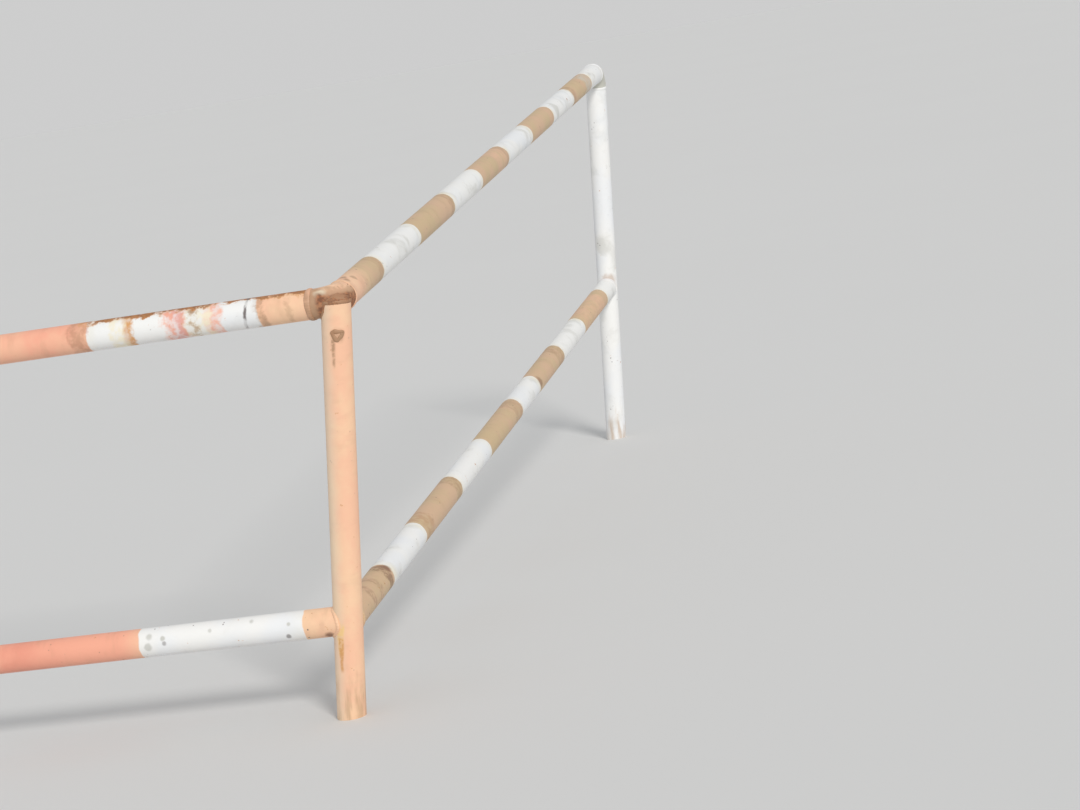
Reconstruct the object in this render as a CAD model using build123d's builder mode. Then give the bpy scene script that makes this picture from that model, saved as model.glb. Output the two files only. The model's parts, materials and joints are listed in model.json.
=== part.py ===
"""Guard railing of striped steel tube, L-shaped in plan: a wing of one bay and a long part of three.

One tube stock serves for posts, rails and the short weld elbows that join them. At the
corner an elbow turns the top rail from the wing into the long part, let into the hollowed
top of the corner post. At each far end an elbow turns the top rail down into the end post.
The middle posts carry the top rail in fish-mouth saddles, and the lower rails are coped
against the round posts. The posts lean, as old ones do, and each is cut level at its foot.

Frame: origin on the foot of the corner post, +Z up, the wing runs along +Y and the long
part along -X, falling as it goes. Millimetres and degrees.
"""
import os
from math import cos, radians, sin, tan

from build123d import *

os.makedirs("parts", exist_ok=True)

# Tube stock, and its short elbow: its bend as a share of the diameter, and how many kinks
# stand in for the smooth bend
tube_diameter = 48.3
tube_wall = 3.2
elbow_bend_factor = 0.789
elbow_kinks = 5
seat_clearance = 0.3

# Bays: the wing has one, and the long part has the others
wing_bay = 2540.0
road_bay = 2540.0
road_bays = 3
corner_angle = 87.0
wing_rise = 34.0
road_slope_angle = 5.14

# Heights, on the axes of the tubes
corner_height = 690.0
rail_spacing = 527.0
wing_ground = -183.0
wing_sideways = -5.0

# Leans of the posts towards +X, from the vertical
corner_lean = 4.4
wing_end_lean = 2.0

# How far the lips of saddles and copes stop short of the axis of the other tube
saddle_lip = 3.0
cope_lip = 12.0

# Places worked out from the sizes
outer_radius = tube_diameter / 2
inner_radius = outer_radius - tube_wall
seat_radius = outer_radius + seat_clearance
elbow_radius = tube_diameter * elbow_bend_factor


def up_a_post(lean):
    """Direction up a post that leans towards +X."""
    return Vector(sin(radians(lean)), 0, cos(radians(lean)))


road_run = Vector(-sin(radians(corner_angle)), cos(radians(corner_angle)), -tan(radians(road_slope_angle)))
corner_up = up_a_post(corner_lean)
wing_end_up = up_a_post(wing_end_lean)
corner_top = Vector(corner_height * tan(radians(corner_lean)), 0, corner_height)
wing_end_top = corner_top + Vector(wing_sideways, wing_bay, wing_rise)
road_tops = [corner_top + road_run * (road_bay * i) for i in range(road_bays + 1)]
road_grounds = [road_run.Z * road_bay * i for i in range(road_bays + 1)]
corner_low = corner_top - corner_up * rail_spacing
wing_end_low = wing_end_top - wing_end_up * rail_spacing
road_lows = [top - corner_up * rail_spacing for top in road_tops]

wing_way = (wing_end_top - corner_top).normalized()
wing_low_way = (wing_end_low - corner_low).normalized()
road_way = road_run.normalized()

# Where the two lower rails meet at the corner, the plane halfway between them trims both
low_mitre = Plane(origin=corner_low, z_dir=wing_low_way - road_way)


def elbow_turn(back, on):
    """Angle that an elbow turns between the tubes that leave its corner along back and on."""
    return 180 - back.get_angle(on)


def elbow_reach(back, on):
    """Distance from the corner of the two axes to either end of the elbow."""
    return elbow_radius * tan(radians(elbow_turn(back, on) / 2))


def elbow_line(corner, back, on):
    """Points along an elbow's axis: both ends, and between them the kinks that make its bend."""
    turn = radians(elbow_turn(back, on))
    start = corner + back * elbow_reach(back, on)
    centre = corner + (back + on).normalized() * (elbow_radius / cos(turn / 2))
    spoke = (start - centre).normalized()
    kink_radius = elbow_radius / cos(turn / elbow_kinks / 2)
    angles = [turn * (i + 0.5) / elbow_kinks for i in range(elbow_kinks)]
    kinks = [centre + (spoke * cos(angle) - back * sin(angle)) * kink_radius for angle in angles]
    return [start, *kinks, corner + on * elbow_reach(back, on)]


def rod_through(point, way):
    """Solid round rod through a joint, the shape that a tube of this stock takes up there."""
    with BuildPart() as rod:
        with BuildSketch(Plane(origin=point - way * tube_diameter, z_dir=way)):
            Circle(seat_radius)
        extrude(amount=2 * tube_diameter)
    return rod.part


def rod_round(corner, back, on, radius):
    """Solid round rod bent round a corner, its bend made of short mitred lengths."""
    with BuildPart() as rod:
        with BuildLine() as axis_line:
            Polyline(*elbow_line(corner, back, on))
        with BuildSketch(Plane(origin=axis_line.line @ 0, z_dir=-back)):
            Circle(radius)
        sweep(path=axis_line.line, transition=Transition.RIGHT)
    return rod.part


def make_post(name, top, up, ground, drop, seat=None):
    """Round tube post, cut square below its top axis and level at its foot, with a seat."""
    above_ground = (top.Z - ground) / up.Z
    start = Plane(origin=top - up * (above_ground + tube_diameter), z_dir=up)
    with BuildPart() as post:
        with BuildSketch(start):
            Circle(outer_radius)
            Circle(inner_radius, mode=Mode.SUBTRACT)
        extrude(amount=above_ground + tube_diameter - drop)
        split(bisect_by=Plane.XY.offset(ground), keep=Keep.TOP)
        if seat:
            add(seat, mode=Mode.SUBTRACT)
    post.part.label = name
    export_step(post.part, f"parts/{name}.step")


def make_rail(name, start, end, mitre=None, side=Keep.TOP, posts=()):
    """Straight tube, mitred by a plane and coped to the posts it meets."""
    with BuildPart() as rail:
        with BuildSketch(Plane(origin=start, z_dir=end - start)):
            Circle(outer_radius)
            Circle(inner_radius, mode=Mode.SUBTRACT)
        extrude(amount=(end - start).length)
        if mitre:
            split(bisect_by=mitre, keep=side)
        for post in posts:
            add(post, mode=Mode.SUBTRACT)
    rail.part.label = name
    export_step(rail.part, f"parts/{name}.step")


def make_elbow(name, corner, back, on):
    """Short weld elbow between the tubes that leave its corner along back and on."""
    with BuildPart() as elbow:
        add(rod_round(corner, back, on, outer_radius))
        add(rod_round(corner, back, on, inner_radius), mode=Mode.SUBTRACT)
    elbow.part.label = name
    export_step(elbow.part, f"parts/{name}.step")


# How far each elbow takes the place of the straight tubes
corner_reach = elbow_reach(wing_way, road_way)
wing_end_reach = elbow_reach(-wing_way, -wing_end_up)
road_end_reach = elbow_reach(-road_way, -corner_up)

# Posts: the corner one stands up to the rail's axis, the end ones stop under their elbows
corner_seat = rod_round(corner_top, wing_way, road_way, seat_radius)
make_post("corner_post", corner_top, corner_up, 0.0, 0.0, corner_seat)
make_post("wing_end_post", wing_end_top, wing_end_up, wing_ground, wing_end_reach)
make_post("road_end_post", road_tops[-1], corner_up, road_grounds[-1], road_end_reach)
for i in range(1, road_bays):
    seat = rod_through(road_tops[i], road_way)
    make_post(f"road_post_{i}", road_tops[i], corner_up, road_grounds[i], saddle_lip, seat)

# Elbows
make_elbow("corner_elbow", corner_top, wing_way, road_way)
make_elbow("wing_end_elbow", wing_end_top, -wing_way, -wing_end_up)
make_elbow("road_end_elbow", road_tops[-1], -road_way, -corner_up)

# Top rails, one tube to a bay between the elbows, butted over the middle posts
wing_start = corner_top + wing_way * corner_reach
make_rail("wing_top_rail", wing_start, wing_end_top - wing_way * wing_end_reach)
for i in range(1, road_bays + 1):
    start = road_tops[i - 1] if i > 1 else corner_top + road_way * corner_reach
    end = road_tops[i] if i < road_bays else road_tops[i] - road_way * road_end_reach
    make_rail(f"road_top_rail_{i}", start, end)

# Lower rails, coped between the posts
make_rail(
    "wing_lower_rail",
    corner_low + wing_low_way * cope_lip,
    wing_end_low - wing_low_way * cope_lip,
    low_mitre,
    Keep.TOP,
    [rod_through(corner_low, corner_up), rod_through(wing_end_low, wing_end_up)],
)
for i in range(1, road_bays + 1):
    make_rail(
        f"road_lower_rail_{i}",
        road_lows[i - 1] + road_way * cope_lip,
        road_lows[i] - road_way * cope_lip,
        low_mitre if i == 1 else None,
        Keep.BOTTOM,
        [rod_through(road_lows[i - 1], corner_up), rod_through(road_lows[i], corner_up)],
    )
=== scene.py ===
"""Looks of the striped steel guard railing.

Old paint, rust and dirt on the tubes, smooth weld elbows in place of the kinked ones, a weld
bead at every joint, and a plain stage. Everything is in metres and in the frame of the CAD
part: origin at the foot of the corner post, +Z up, the wing along +Y, the long part along -X.
"""

import json
from collections.abc import Sequence
from dataclasses import dataclass
from math import cos, pi, radians, sin, tan

import bpy
import numpy as np
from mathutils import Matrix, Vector


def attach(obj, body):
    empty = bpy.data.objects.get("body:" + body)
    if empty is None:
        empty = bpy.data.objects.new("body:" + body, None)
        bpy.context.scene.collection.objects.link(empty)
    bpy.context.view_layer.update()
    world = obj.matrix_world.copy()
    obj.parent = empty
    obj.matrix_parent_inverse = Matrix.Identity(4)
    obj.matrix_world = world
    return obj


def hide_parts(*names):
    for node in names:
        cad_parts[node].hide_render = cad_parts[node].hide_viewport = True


bl_info = {
    "name": "Striped Guard Railing",
    "version": (1, 0, 0),
    "blender": (4, 5, 0),
    "location": "View3D > Sidebar > Railing",
    "description": "Paint, rust, elbows and weld beads for a striped steel guard railing",
    "category": "Add Mesh",
}

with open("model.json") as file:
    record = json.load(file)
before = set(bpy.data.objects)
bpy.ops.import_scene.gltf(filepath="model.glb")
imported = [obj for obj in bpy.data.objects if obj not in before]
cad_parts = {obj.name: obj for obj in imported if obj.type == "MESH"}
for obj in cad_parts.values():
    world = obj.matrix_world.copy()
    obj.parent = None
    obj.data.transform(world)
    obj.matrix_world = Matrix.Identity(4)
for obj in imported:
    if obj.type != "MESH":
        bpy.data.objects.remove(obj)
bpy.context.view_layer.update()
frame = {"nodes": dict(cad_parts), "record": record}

# Sizes that the CAD part has too
TUBE_RADIUS = 0.02415
TUBE_WALL = 0.0032
ELBOW_RADIUS = 0.0381
CORNER_LEAN = 4.4
END_LEAN = 2.0
CORNER_HEIGHT = 0.690
END_HEIGHT = 0.907
RAIL_SPACING = 0.527
COPE_LIP = 0.012
SADDLE_LIP = 0.003

# Weld metal on the corner post's rim: its thickness outwards and upwards, its bulge, the height
# of its lumps, how far inside the wall and how deep its edges start, and how far round the elbow
# it reaches, in radians
FILL_WALL = 0.0022
FILL_TUCK = 0.0010
FILL_BULGE = 0.0016
FILL_LUMPS = 0.00022
FILL_INSET = 0.0006
FILL_SINK = 0.0004
FILL_RISE = 0.56

# Scar on the corner post: how far down and aside it lies, and half its height and width
SCAR_DOWN = 0.050
SCAR_ASIDE = 0.0066
SCAR_HEIGHT = 0.0070
SCAR_WIDTH = 0.0080

# Seams: the rounding where one runs into a lip, and how deep the corner post's seat may be
SEAM_ROUNDING = 0.0055
SEAT_DEPTH = 0.030

# Camera: its place from the corner's top, and the photograph's axis, turned right from +Y and
# tilted down, in degrees. Then, in the photograph's pixels, its middle, the place that the
# camera turns to and the focal length, and last the angle that the camera's lens takes in
CAMERA_OFFSET = (1.2232, -4.3603, 0.8342)
PHOTO_YAW = 15.25
PHOTO_PITCH = 11.08
PHOTO_MIDDLE = (540, 405)
RAILING_PIXEL = (183, 447)
PHOTO_LENS = 720
LENS_ANGLE = 21.0

# Lights: strengths of the soft light, of the backdrop and of the sun lamp, and the lamp's width,
# its turn from the front to the right, and its height, in degrees
SOFT_STRENGTH = 0.54
BACKDROP_STRENGTH = 0.614
SUN_STRENGTH = 1.88
SUN_WIDTH = 12
SUN_TURN = 30
SUN_HEIGHT = 36

UP = np.array([0.0, 0.0, 1.0])


# Places of the tubes

def unit(vector):
    """The vector at length one."""
    vector = np.asarray(vector, float)
    return vector / np.linalg.norm(vector)


def leaning(lean):
    """Direction up a post that leans towards +X by so many degrees."""
    return np.array([sin(radians(lean)), 0.0, cos(radians(lean))])


class Tube:
    """A straight tube's axis, with the direction along it and two directions across it."""

    def __init__(self, start, end):
        self.start = start
        self.way = unit(end - start)
        self.length = float(np.linalg.norm(end - start))
        self.upright = abs(self.way[2]) > 0.9
        face = np.array([0.0, -1.0, 0.0]) if self.upright else UP
        self.face = unit(face - self.way * (face @ self.way))
        self.side = np.cross(self.way, self.face)

    def at(self, distance):
        """Point on the axis, so far from its start."""
        return self.start + self.way * distance

    def wall(self, distance, angle):
        """Point on the outside wall, so far from the start and so many degrees from its face."""
        turned = self.face * cos(radians(angle)) + self.side * sin(radians(angle))
        return self.at(distance) + turned * TUBE_RADIUS


feet = {mount["name"]: np.array(mount["pos_m"]) for mount in frame["record"]["mounts"]}
corner_up, end_up = leaning(CORNER_LEAN), leaning(END_LEAN)
road_feet = [feet["corner_foot"], feet["road_foot_1"], feet["road_foot_2"], feet["road_end_foot"]]
road_tops = [foot + corner_up * (CORNER_HEIGHT / corner_up[2]) for foot in road_feet]
road_lows = [top - corner_up * RAIL_SPACING for top in road_tops]
corner_top, corner_low = road_tops[0], road_lows[0]
end_top = feet["wing_end_foot"] + end_up * (END_HEIGHT / end_up[2])
end_low = end_top - end_up * RAIL_SPACING

TUBES = {
    "corner_post": Tube(corner_top, road_feet[0]),
    "wing_end_post": Tube(end_top, feet["wing_end_foot"]),
    "road_end_post": Tube(road_tops[3], road_feet[3]),
    "wing_top_rail": Tube(corner_top, end_top),
    "wing_lower_rail": Tube(corner_low, end_low),
}
for bay in (1, 2, 3):
    TUBES[f"road_top_rail_{bay}"] = Tube(road_tops[bay - 1], road_tops[bay])
    TUBES[f"road_lower_rail_{bay}"] = Tube(road_lows[bay - 1], road_lows[bay])
for bay in (1, 2):
    TUBES[f"road_post_{bay}"] = Tube(road_tops[bay], road_feet[bay])


class Bend:
    """An elbow's arc about the corner of two axes that leave it along back and on."""

    def __init__(self, corner, back, on):
        self.corner, self.back, self.on = corner, unit(back), unit(on)
        self.turn = pi - np.arccos(float(self.back @ self.on))
        self.reach = ELBOW_RADIUS * tan(self.turn / 2)
        self.centre = corner + unit(self.back + self.on) * ELBOW_RADIUS / cos(self.turn / 2)
        self.spoke = unit(corner + self.back * self.reach - self.centre)
        self.hinge = np.cross(self.spoke, -self.back)

    def mouth(self, way):
        """Middle of the elbow's open end along one of its two ways."""
        return self.corner + way * self.reach

    def point(self, share, around, radius):
        """Points on the bend's surface: share is 0 to 1 along the arc, around is the angle about
        the tube, 0 on the outside of the bend, and radius is the distance from the tube's axis.
        Axis point = centre + spoke turned by share * turn; surface = axis point + radius * (spoke
        turned * cos(around) + hinge * sin(around))."""
        angle = (np.asarray(share) * self.turn)[..., None]
        spoke = self.spoke * np.cos(angle) - self.back * np.sin(angle)
        around = np.asarray(around)[..., None]
        ring = spoke * np.cos(around) + self.hinge * np.sin(around)
        return self.centre + spoke * ELBOW_RADIUS + ring * radius


BENDS = {
    "corner_elbow": Bend(corner_top, TUBES["wing_top_rail"].way, TUBES["road_top_rail_1"].way),
    "wing_end_elbow": Bend(end_top, -TUBES["wing_top_rail"].way, TUBES["wing_end_post"].way),
    "road_end_elbow": Bend(road_tops[3], -TUBES["road_top_rail_3"].way, TUBES["road_end_post"].way),
}


# Settings that a user may change

def paint_colour(name, description, red, green, blue):
    """One colour setting."""
    return bpy.props.FloatVectorProperty(
        name=name, description=description, subtype="COLOR", size=4,
        default=(red, green, blue, 1.0), min=0.0, max=1.0)


class RailingSizes(bpy.types.PropertyGroup):
    """Sizes of the weld beads and of the stage."""
    bead_width: bpy.props.FloatProperty(
        name="Bead width", description="Width of a weld bead across the joint",
        default=0.009, min=0.002, max=0.03, unit="LENGTH")
    bead_height: bpy.props.FloatProperty(
        name="Bead height", description="How far a weld bead stands out of the tube",
        default=0.0018, min=0.0005, max=0.01, unit="LENGTH")
    ripple: bpy.props.FloatProperty(
        name="Ripple spacing", description="Distance from one ripple of a bead to the next",
        default=0.0042, min=0.001, max=0.02, unit="LENGTH")
    floor_reach: bpy.props.FloatProperty(
        name="Floor reach", description="Half the width of the floor",
        default=60.0, min=10.0, max=200.0, unit="LENGTH")


class RailingColours(bpy.types.PropertyGroup):
    """Colours of paint, rust, painted light and shade, and floor."""
    salmon: paint_colour("Faded red", "Red paint faded to salmon, near the corner", 0.92, 0.54, 0.36)
    peach: paint_colour("Palest red", "Cloudy parts of the faded red paint", 0.94, 0.66, 0.42)
    red: paint_colour("Less faded red", "Red paint that kept more of its colour", 0.91, 0.42, 0.29)
    deep_red: paint_colour("Deep red", "The least faded red paint", 0.76, 0.25, 0.18)
    tan: paint_colour("Dirty red", "Red paint weathered to tan on the wing", 0.66, 0.445, 0.285)
    olive: paint_colour("Greenish tan", "Greenish parts of the tan paint", 0.59, 0.46, 0.25)
    brown: paint_colour("Grime", "Brown grime and thin rust", 0.42, 0.25, 0.145)
    white: paint_colour("White", "White paint", 0.89, 0.89, 0.875)
    # Cream is also the colour of the painted highlights on the corner post, the corner elbow and the end
    # elbows
    cream: paint_colour("Cream", "White paint yellowed near its edges", 0.90, 0.83, 0.64)
    grey: paint_colour("Grey dirt", "Dirt settled on white paint", 0.58, 0.58, 0.54)
    rust: paint_colour("Rust", "Rust in its lighter parts", 0.42, 0.175, 0.08)
    dark_rust: paint_colour("Dark rust", "Rust in its darker parts", 0.20, 0.085, 0.045)
    orange: paint_colour("Rust stain", "Orange stain that rust leaves on paint", 0.68, 0.33, 0.11)
    # Painted shade in grey-green on the inner side of the end elbows
    inner_shade: paint_colour("Green dirt", "Grey-green dirt inside the end elbows", 0.42, 0.42, 0.33)
    yellow: paint_colour("Yellow stain", "Palest part of a rust stain", 0.92, 0.62, 0.26)
    splash: paint_colour("Splashed dirt", "Dirt splashed on the posts near their feet", 0.50, 0.33, 0.19)
    primer: paint_colour("Bare steel", "Dark steel and primer in chips and cracks", 0.16, 0.135, 0.13)
    # Painted bluish sky light on white paint and on the white welds
    sky_blue: paint_colour("Cool white", "Bluish parts of the white paint", 0.80, 0.84, 0.90)
    floor: paint_colour("Floor", "Colour of the floor", 0.74, 0.74, 0.735)


def sizes():
    """The sizes of this scene."""
    return bpy.context.scene.railing_sizes


def colour(name):
    """One of the colours of this scene, as plain numbers."""
    return tuple(getattr(bpy.context.scene.railing_colours, name))


# Shader maths

def maths(operation, reflected=False):
    """A method that adds a Math node on a value and another, the other way round if reflected."""
    def method(self, other):
        first, second = (other, self) if reflected else (self, other)
        return self.nodes.node("ShaderNodeMath", {"operation": operation}, {0: first, 1: second})
    return method


class Value:
    """A node's output. Where it holds a number and meets an operator, it adds a Math node."""

    def __init__(self, nodes, socket):
        self.nodes, self.socket = nodes, socket

    __add__, __radd__ = maths("ADD"), maths("ADD", True)
    __sub__, __rsub__ = maths("SUBTRACT"), maths("SUBTRACT", True)
    __mul__, __rmul__ = maths("MULTIPLY"), maths("MULTIPLY", True)
    __truediv__, __rtruediv__ = maths("DIVIDE"), maths("DIVIDE", True)

    def swing(self, amount):
        """The value's swing to either side of a half, times an amount."""
        return (self - 0.5) * amount


class Nodes:
    """The nodes of a material or of a world under construction."""

    def __init__(self, owner):
        owner.use_nodes = True
        self.tree = owner.node_tree
        self.tree.nodes.clear()

    def node(self, kind, settings=None, inputs=None, out=0):
        """A node of one kind: its settings first, then values or links for its sockets. Gives
        the output that is asked for, or none."""
        made = self.tree.nodes.new(kind)
        for name, setting in (settings or {}).items():
            if name == "stops":
                self._set_stops(made.color_ramp, setting)
            else:
                setattr(made, name, setting)
        for name, value in (inputs or {}).items():
            if isinstance(value, Value):
                self.tree.links.new(value.socket, made.inputs[name])
            else:
                made.inputs[name].default_value = value
        return None if out is None else Value(self, made.outputs[out])

    @staticmethod
    def _set_stops(ramp, stops):
        """Straight slopes from stop to stop, each a place and a grey."""
        ramp.interpolation = "LINEAR"
        while len(ramp.elements) < len(stops):
            ramp.elements.new(1.0)
        for element, (place, grey) in zip(ramp.elements, stops):
            element.position = place
            element.color = (grey, grey, grey, 1.0)

    def larger(self, first, second):
        """The larger of two values."""
        return self.node("ShaderNodeMath", {"operation": "MAXIMUM"}, {0: first, 1: second})


class Paint(Nodes):
    """A material under construction."""

    def __init__(self, name):
        self.material = bpy.data.materials.new(name)
        super().__init__(self.material)
        self.place = self.node("ShaderNodeTexCoord", out="Object")

    def vector(self, operation, *inputs, out=0):
        """A Vector Math node on values or on plain vectors."""
        inputs = {k: given if isinstance(given, Value) else tuple(given) for k, given in enumerate(inputs)}
        return self.node("ShaderNodeVectorMath", {"operation": operation}, inputs, out)

    def noise(self, scale, detail=3.0, roughness=0.55, stretch=None, warp=0.0):
        """Soft noise from 0 to 1 at so many waves to the metre, stretched along a direction."""
        place = self.place
        if stretch is not None:
            place = self.node("ShaderNodeMapping", {"vector_type": "POINT"},
                              {"Vector": place, "Scale": stretch})
        return self.node("ShaderNodeTexNoise", {}, {
            "Vector": place, "Scale": scale, "Detail": detail, "Roughness": roughness,
            "Distortion": warp}, out="Fac")

    def cells(self, scale):
        """Distance from the middle of the nearest of many scattered cells."""
        return self.node("ShaderNodeTexVoronoi", {"feature": "F1"}, {
            "Vector": self.place, "Scale": scale}, out="Distance")

    def ease(self, value, low, high, start=0.0, end=1.0):
        """A smooth step from start to end as the value goes from low to high."""
        return self.node("ShaderNodeMapRange", {"interpolation_type": "SMOOTHSTEP"}, {
            "Value": value, "From Min": low, "From Max": high, "To Min": start, "To Max": end})

    def size_of(self, value):
        """A value without its sign."""
        return self.node("ShaderNodeMath", {"operation": "ABSOLUTE"}, {0: value})

    def near(self, value, middle, reach, soft):
        """One where the value is within reach of the middle, fading out over soft."""
        return self.ease(self.size_of(value - middle), reach, reach + soft, 1.0, 0.0)

    def mix(self, share, first, second):
        """Two colours mixed by a share."""
        return self.node("ShaderNodeMix", {"data_type": "RGBA"}, {0: share, 6: first, 7: second}, out=2)

    def clouded(self, first, second):
        """One colour clouded with another, at the same places on every piece."""
        share = self.ease(self.noise(12.0, 4.0, 0.6), 0.38, 0.64) * 0.65
        return self.mix(share, colour(first), colour(second))

    def along(self, origin, direction):
        """Distance of the shaded point from a point, measured along a direction."""
        offset = self.vector("SUBTRACT", self.place, origin)
        return self.vector("DOT_PRODUCT", offset, direction, out="Value")

    def away(self, point):
        """Distance of the shaded point from another point."""
        return self.vector("DISTANCE", self.place, point, out="Value")

    def rusted(self, base, rust, fine, coarse, stain="orange"):
        """Rust over a base colour: a stain round it, and the rust itself in two tones. Gives the
        colour, and how solid the rust is."""
        tone = self.mix(self.ease(fine, 0.38, 0.62), colour("dark_rust"), colour("rust"))
        tone = self.mix(self.ease(coarse, 0.42, 0.62) * 0.35, tone, colour(stain))
        stained = self.mix(self.ease(rust, 0.0, 0.45) * 0.5, base, colour(stain))
        solid = self.ease(rust, 0.30, 0.80)
        return self.mix(solid, stained, tone), solid

    def finish(self, base, roughness, height, depth, normal=None):
        """Shader and output: base colour, roughness, and a height in shares of a depth."""
        bump = {"Height": height, "Distance": depth, "Strength": 1.0}
        if normal is not None:
            bump["Normal"] = normal
        shader = self.node("ShaderNodeBsdfPrincipled", {}, {
            "Base Color": base, "Roughness": roughness, "Normal": self.node("ShaderNodeBump", {}, bump)})
        self.node("ShaderNodeOutputMaterial", {}, {"Surface": shader}, out=None)
        return self.material


# Paint on the tubes

@dataclass
class Wear:
    """Where one tube's paint differs from the plain. All places are metres along the tube."""
    # Start and end of each white band, or white all over
    whites: Sequence = ()
    all_white: bool = False
    # The red's tone and its clouds' tone, and start, end and both tones where it turns into others
    red: str = "salmon"
    clouds: str = "peach"
    turns: Sequence = ()
    # Start, end, colour, strength and how broken up, for rings of another colour
    patches: Sequence = ()
    # Place, slant and half width of dark cracks round the tube
    cracks: Sequence = ()
    # Place, angle from the tube's face, reach, colour and strength of blots
    spots: Sequence = ()
    # Start, end, angle from the tube's face, half width and colour of runs down a post
    streaks: Sequence = ()
    # Angle from the tube's face of the side that gets a painted highlight in cream
    highlight_side: float | None = None
    # Start, end and strength of the rust along the top
    top_rust: Sequence = ()
    # How much of it is chipped, how dirty the white is, and how grimy the red
    chips: float = 0.4
    dirt: float = 0.35
    grime: float = 0.3


class TubePaint(Paint):
    """Old brushed paint on one tube. It knows how far along the tube, towards its face and across
    it the shaded point lies, and has a fine and a coarse noise that all marks share."""

    def __init__(self, name, tube, wear):
        super().__init__(name)
        self.tube, self.wear = tube, wear
        self.run = self.along(tube.start, tube.way)
        self.top = self.along(tube.start, tube.face) / TUBE_RADIUS
        self.across = self.along(tube.start, tube.side) / TUBE_RADIUS
        self.fine = self.noise(190.0, 3.0, 0.6)
        self.coarse = self.noise(42.0, 3.0, 0.55, warp=0.3)
        self.wavering = self.run + self.coarse.swing(0.010)

    def band_ramp(self, before, after):
        """A ramp over the tube's length: one inside each white band and none between them. Each
        edge slopes from so much outside the band to so much inside it."""
        stops = [(0.0, 0.0)]
        for start, end in self.wear.whites:
            stops += [(start - before, 0.0), (start + after, 1.0), (end - after, 1.0), (end + before, 0.0)]
        stops = [(min(max(place / self.tube.length, 0.0), 1.0), grey) for place, grey in stops]
        return self.node("ShaderNodeValToRGB", {"stops": stops}, {"Fac": self.wavering / self.tube.length})

    def faded_red(self):
        """Faded red paint: cloudy between two tones, with short brush marks and grime round it."""
        red = self.clouded(self.wear.red, self.wear.clouds)
        for start, end, tone, cloud_tone in self.wear.turns:
            red = self.mix(self.ease(self.wavering, start, end), red, self.clouded(tone, cloud_tone))
        longest = int(np.argmax(np.abs(self.tube.way)))
        across_brush = tuple(2.2 if axis == longest else 1.0 for axis in range(3))
        marks = self.ease(self.noise(17.0, 3.0, 0.6, stretch=across_brush), 0.50, 0.74)
        return self.mix(marks * self.wear.grime, red, colour("brown"))

    def old_white(self):
        """White paint: cream and grimy towards the bands' edges, grey in soft blotches, and painted bluish
        sky light in others.
        """
        blotches = self.ease(self.noise(20.0, 4.0, 0.6, warp=0.4), 0.50, 0.74)
        white = self.mix(blotches * self.wear.dirt, colour("white"), colour("grey"))
        # Painted sky light: bluish in soft blotches
        sky_blue = self.ease(self.noise(9.0, 2.0), 0.45, 0.68) * 0.45
        white = self.mix(sky_blue, white, colour("sky_blue"))
        if self.wear.whites:
            edge = 1.0 - self.band_ramp(0.0, 0.024)
            edge = edge * self.ease(blotches, 0.0, 0.4, 0.35, 0.85) * min(1.0, 1.6 * self.wear.dirt)
            white = self.mix(edge, white, colour("cream"))
        return white

    def bands(self):
        """Colour of the red and white bands, and the share of white."""
        if self.wear.all_white:
            return self.old_white(), 1.0
        if not self.wear.whites:
            return self.faded_red(), 0.0
        share = self.ease(self.band_ramp(0.015, 0.015), 0.46, 0.54)
        return self.mix(share, self.faded_red(), self.old_white()), share

    def marked(self, base):
        """The tube's own marks over a base colour: a painted highlight on one side, rings, blots and runs.
        """
        # Painted highlight: the side turned towards the light is mixed towards cream
        if self.wear.highlight_side is not None:
            side = radians(self.wear.highlight_side)
            turned = self.top * cos(side) + self.across * sin(side)
            pale = self.ease(turned + self.coarse.swing(0.35), 0.0, 0.95)
            base = self.mix(pale * 0.45, base, colour("cream"))
        for start, end, tone, strength, broken in self.wear.patches:
            ragged = self.wavering + self.coarse.swing(0.020) + self.fine.swing(0.008)
            ring = self.near(ragged, (start + end) / 2, (end - start) / 2 - 0.002, 0.008)
            torn = self.ease(self.noise(75.0, 3.0, 0.6), 0.38, 0.60, 1.0 - broken, 1.0)
            base = self.mix(ring * torn * strength, base, colour(tone))
        for place, angle, reach, tone, strength in self.wear.spots:
            blot = self.away(self.tube.wall(place, angle)) + self.coarse.swing(reach * 1.2)
            base = self.mix(self.ease(blot, reach * 0.35, reach, strength, 0.0), base, colour(tone))
        for start, end, angle, half, tone in self.wear.streaks:
            narrowing = self.ease(self.run, start, end, half, half * 0.4)
            off = self.size_of(self.across - sin(radians(angle)) + self.coarse.swing(0.25)) - narrowing
            drip = self.near(self.run, (start + end) / 2, (end - start) / 2, 0.010)
            beads = self.ease(self.noise(160.0, 2.0), 0.36, 0.54, 0.45, 1.0)
            line = self.ease(off, -0.04, 0.12, 1.0, 0.0) * self.ease(self.top, 0.0, 0.2)
            base = self.mix(line * drip * beads * 0.85, base, colour(tone))
        return base

    def rust(self):
        """Rust, scattered everywhere and worst along the top."""
        rust = self.ease(self.noise(60.0, 4.0, 0.65), 0.66, 0.76) * 0.7
        if self.wear.top_rust:
            start, end, strength = self.wear.top_rust
            crest = self.ease(self.top + self.coarse.swing(0.9) + self.fine.swing(0.3), 0.76, 1.06)
            stretch = self.near(self.run, (start + end) / 2, (end - start) / 2, 0.06)
            rust = self.larger(rust, crest * stretch * strength)
        return rust

    def chips(self):
        """Cracks, and chips down to grey primer and dark steel."""
        chosen = self.ease(self.noise(38.0, 2.0), 0.58, 0.66)
        cells = self.cells(95.0) + self.fine.swing(0.25)
        chips = self.ease(cells, 0.10, 0.18, 1.0, 0.0) * chosen * self.wear.chips
        for place, slant, half in self.wear.cracks:
            crack = self.near(self.run + self.top * slant + self.fine.swing(0.004), place, half, 0.0028)
            chips = self.larger(chips, crack * self.ease(self.coarse, 0.36, 0.50, 0.25, 0.95))
        return chips

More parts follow.
